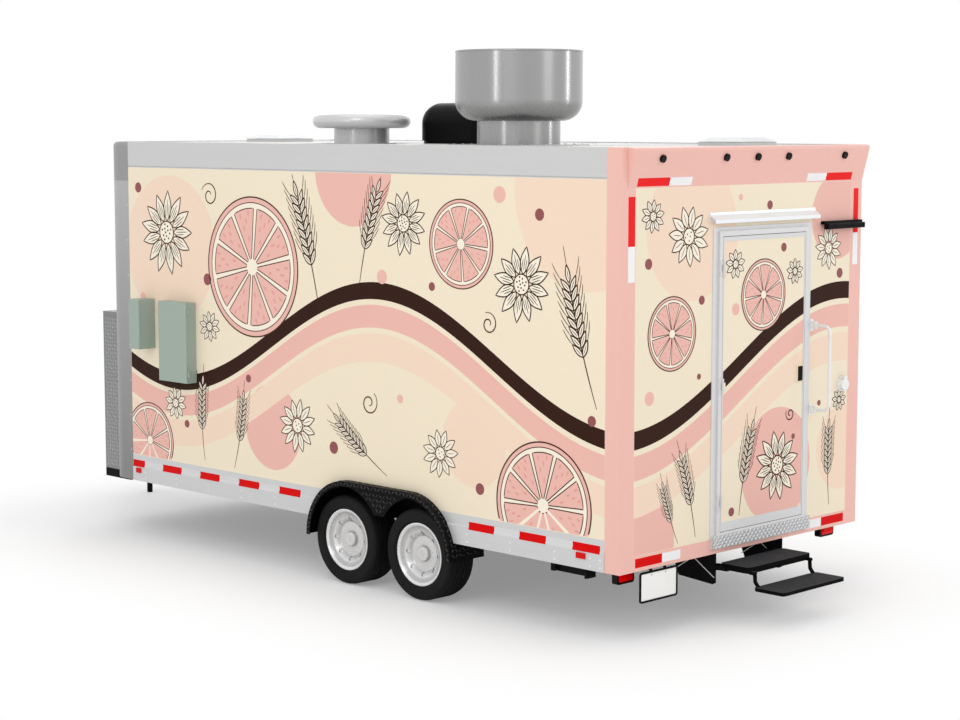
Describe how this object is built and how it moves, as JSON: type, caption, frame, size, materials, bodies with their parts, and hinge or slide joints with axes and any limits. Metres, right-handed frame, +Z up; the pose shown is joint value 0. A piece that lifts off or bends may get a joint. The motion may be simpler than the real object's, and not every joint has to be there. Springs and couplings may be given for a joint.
{
  "type": "food trailer",
  "caption": "Tandem-axle box food trailer with a hinged rear door, fold-out step, serving hatch, roof exhaust fan, front storage box and A-frame hitch tongue.",
  "frame": {"origin": "on the ground under the middle of the trailer's overall box", "axes": "+X forward to the hitch, +Y to the left (street) side, +Z up"},
  "size_m": [7.69, 2.808, 3.812],
  "materials": {
    "frame_black": "satin black chassis paint",
    "zinc": "zinc plated",
    "tread_black": "black tread plate",
    "floor_plate": "tread plate floor",
    "wrap": "printed vinyl on sheet",
    "aluminium": "mill finish",
    "grey_rail": "satin",
    "pink_paint": "gloss paint",
    "roof_white": "coated sheet",
    "white_aluminium": "powder coat",
    "black_plastic": "moulded",
    "white_plastic": "moulded",
    "red_lens": "lamp lens",
    "tread_aluminium": "diamond plate",
    "sage_paint": "powder coat",
    "galvanised": "spun aluminium",
    "chrome_cap": "polished",
    "stainless": "brushed",
    "tyre": "moulded rubber",
    "wheel_paint": "silver-white enamel"
  },
  "bodies": {
    "trailer": {"chassis_frame": "frame_black", "hitch_coupler": "zinc", "jack_tube": "frame_black", "axles": "frame_black", "fenders": "tread_black", "floor_deck": "floor_plate", "left_wall": "wrap", "right_wall": "wrap", "front_wall": "wrap", "rear_wall": "wrap", "side_skirts": "aluminium", "top_rails": "grey_rail", "front_corner_posts": "grey_rail", "rear_frame": "pink_paint", "roof_panel": "roof_white", "door_frame": "white_aluminium", "grab_brackets": "white_aluminium", "power_inlet": "white_plastic", "light_bar": "black_plastic", "lamps": "red_lens", "step_brackets": "frame_black", "front_box": "tread_aluminium", "breaker_box": "sage_paint", "disconnect_box": "sage_paint", "fan_base": "galvanised", "fan_bowl": "galvanised", "fan_motor": "galvanised", "vent_cap": "chrome_cap", "air_conditioner": "black_plastic", "exhaust_hood": "stainless", "work_counter": "stainless"},
    "coupler_lever": {"coupler_latch": "zinc"},
    "jack_inner": {"jack_leg": "frame_black"},
    "jack_handle": {"jack_crank": "zinc"},
    "door": {"rear_door": "wrap"},
    "door_paddle": {"door_latch": "black_plastic"},
    "handrail": {"grab_rail": "white_aluminium"},
    "socket_lid": {"inlet_lid": "white_plastic"},
    "rear_arms": {"step_rear_arms": "zinc"},
    "front_arms": {"step_front_arms": "zinc"},
    "first_step": {"upper_step": "tread_black"},
    "second_step": {"lower_step": "tread_black"},
    "storage_lid": {"front_box_lid": "tread_aluminium"},
    "breaker_cover": {"breaker_door": "sage_paint"},
    "disconnect_cover": {"disconnect_door": "sage_paint"},
    "impeller": {"fan_wheel": "galvanised"},
    "front_vent": {"front_vent_lid": "white_plastic"},
    "rear_vent": {"rear_vent_lid": "white_plastic"},
    "hatch": {"serving_hatch": "wrap"},
    "shelf": {"serving_shelf": "stainless"},
    "left_stand": {"left_stabiliser": "frame_black"},
    "right_stand": {"right_stabiliser": "frame_black"},
    "front_left_roller": {"front_left_tyre": "tyre", "front_left_wheel": "wheel_paint"},
    "front_right_roller": {"front_right_tyre": "tyre", "front_right_wheel": "wheel_paint"},
    "rear_left_roller": {"rear_left_tyre": "tyre", "rear_left_wheel": "wheel_paint"},
    "rear_right_roller": {"rear_right_tyre": "tyre", "rear_right_wheel": "wheel_paint"}
  },
  "joints": [
    {"name": "front_left_wheel_spin", "type": "hinge", "parent": "trailer", "child": "front_left_roller", "pos_m": [-0.711, 1.134, 0.32375], "axis": [0, 1, 0], "continuous": true},
    {"name": "front_right_wheel_spin", "type": "hinge", "parent": "trailer", "child": "front_right_roller", "pos_m": [-0.711, -1.232, 0.32375], "axis": [0, 1, 0], "continuous": true},
    {"name": "rear_left_wheel_spin", "type": "hinge", "parent": "trailer", "child": "rear_left_roller", "pos_m": [-1.465, 1.134, 0.32375], "axis": [0, 1, 0], "continuous": true},
    {"name": "rear_right_wheel_spin", "type": "hinge", "parent": "trailer", "child": "rear_right_roller", "pos_m": [-1.465, -1.232, 0.32375], "axis": [0, 1, 0], "continuous": true},
    {"name": "coupler_latch_lift", "type": "hinge", "parent": "trailer", "child": "coupler_lever", "pos_m": [3.623, -0.049, 0.49], "axis": [0, -1, 0], "range_deg": [0, 95]},
    {"name": "jack_crank_turn", "type": "hinge", "parent": "trailer", "child": "jack_handle", "pos_m": [3.39, 0.013, 1.042], "axis": [0, 1, 0], "range_deg": [0, 10800]},
    {"name": "jack_leg_travel", "type": "slide", "parent": "trailer", "child": "jack_inner", "axis": [0, 0, 1], "range_m": [0, 0.3]},
    {"name": "rear_door_swing", "type": "hinge", "parent": "trailer", "child": "door", "pos_m": [-3.3335, 0.249, 1.58], "axis": [0, 0, -1], "range_deg": [0, 120]},
    {"name": "door_latch_pull", "type": "hinge", "parent": "door", "child": "door_paddle", "pos_m": [-3.319, -0.6175, 1.634], "axis": [0, 1, 0], "range_deg": [0, 35], "stiffness_Nm_per_rad": 0.5},
    {"name": "grab_rail_fold", "type": "hinge", "parent": "trailer", "child": "handrail", "pos_m": [-3.347, -0.766, 1.621], "axis": [0, 0, 1], "range_deg": [0, 90]},
    {"name": "inlet_lid_lift", "type": "hinge", "parent": "trailer", "child": "socket_lid", "pos_m": [-3.341, -1.137, 1.521], "axis": [0, 1, 0], "range_deg": [0, 120]},
    {"name": "step_fold", "type": "hinge", "parent": "trailer", "child": "rear_arms", "pos_m": [-3.175, -0.11, 0.34], "axis": [0, -1, 0], "range_deg": [0, 170]},
    {"name": "step_front_arm_turn", "type": "hinge", "parent": "trailer", "child": "front_arms", "pos_m": [-3.085, -0.11, 0.34], "axis": [0, -1, 0], "range_deg": [0, 170]},
    {"name": "upper_step_level", "type": "hinge", "parent": "rear_arms", "child": "first_step", "pos_m": [-3.355, -0.11, 0.36], "axis": [0, -1, 0], "range_deg": [-170, 0]},
    {"name": "lower_step_fold", "type": "hinge", "parent": "first_step", "child": "second_step", "pos_m": [-3.579, -0.11, 0.352], "axis": [0, 1, 0], "range_deg": [0, 180]},
    {"name": "front_box_lid_lift", "type": "hinge", "parent": "trailer", "child": "storage_lid", "pos_m": [2.193, -0.049, 1.746], "axis": [0, -1, 0], "range_deg": [0, 78]},
    {"name": "breaker_door_swing", "type": "hinge", "parent": "trailer", "child": "breaker_cover", "pos_m": [0.997, 1.3265, 1.622], "axis": [0, 0, 1], "range_deg": [0, 120]},
    {"name": "disconnect_door_swing", "type": "hinge", "parent": "trailer", "child": "disconnect_cover", "pos_m": [1.663, 1.3865, 1.738], "axis": [0, 0, -1], "range_deg": [0, 110]},
    {"name": "fan_wheel_spin", "type": "hinge", "parent": "trailer", "child": "impeller", "pos_m": [-1.578, 0.364, 3.4], "axis": [0, 0, 1], "continuous": true},
    {"name": "front_vent_lift", "type": "hinge", "parent": "trailer", "child": "front_vent", "pos_m": [1.733, -0.049, 3.178], "axis": [0, 1, 0], "range_deg": [0, 70]},
    {"name": "rear_vent_lift", "type": "hinge", "parent": "trailer", "child": "rear_vent", "pos_m": [-2.617, -0.529, 3.178], "axis": [0, 1, 0], "range_deg": [0, 70]},
    {"name": "serving_hatch_lift", "type": "hinge", "parent": "trailer", "child": "hatch", "pos_m": [-0.305, -1.366, 2.506], "axis": [-1, 0, 0], "range_deg": [0, 90]},
    {"name": "serving_shelf_lift", "type": "hinge", "parent": "trailer", "child": "shelf", "pos_m": [-0.305, -1.362, 1.446], "axis": [-1, 0, 0], "range_deg": [0, 90]},
    {"name": "left_stabiliser_drop", "type": "hinge", "parent": "trailer", "child": "left_stand", "pos_m": [-2.645, 1.096, 0.395], "axis": [0, -1, 0], "range_deg": [0, 90]},
    {"name": "right_stabiliser_drop", "type": "hinge", "parent": "trailer", "child": "right_stand", "pos_m": [-2.645, -1.194, 0.395], "axis": [0, -1, 0], "range_deg": [0, 90]}
  ],
  "couplings": [
    {"joint": "jack_leg_travel", "follows": "jack_crank_turn", "m_per_rad": 0.0015915},
    {"joint": "step_front_arm_turn", "follows": "step_fold", "ratio": 1},
    {"joint": "upper_step_level", "follows": "step_fold", "ratio": -1}
  ]
}
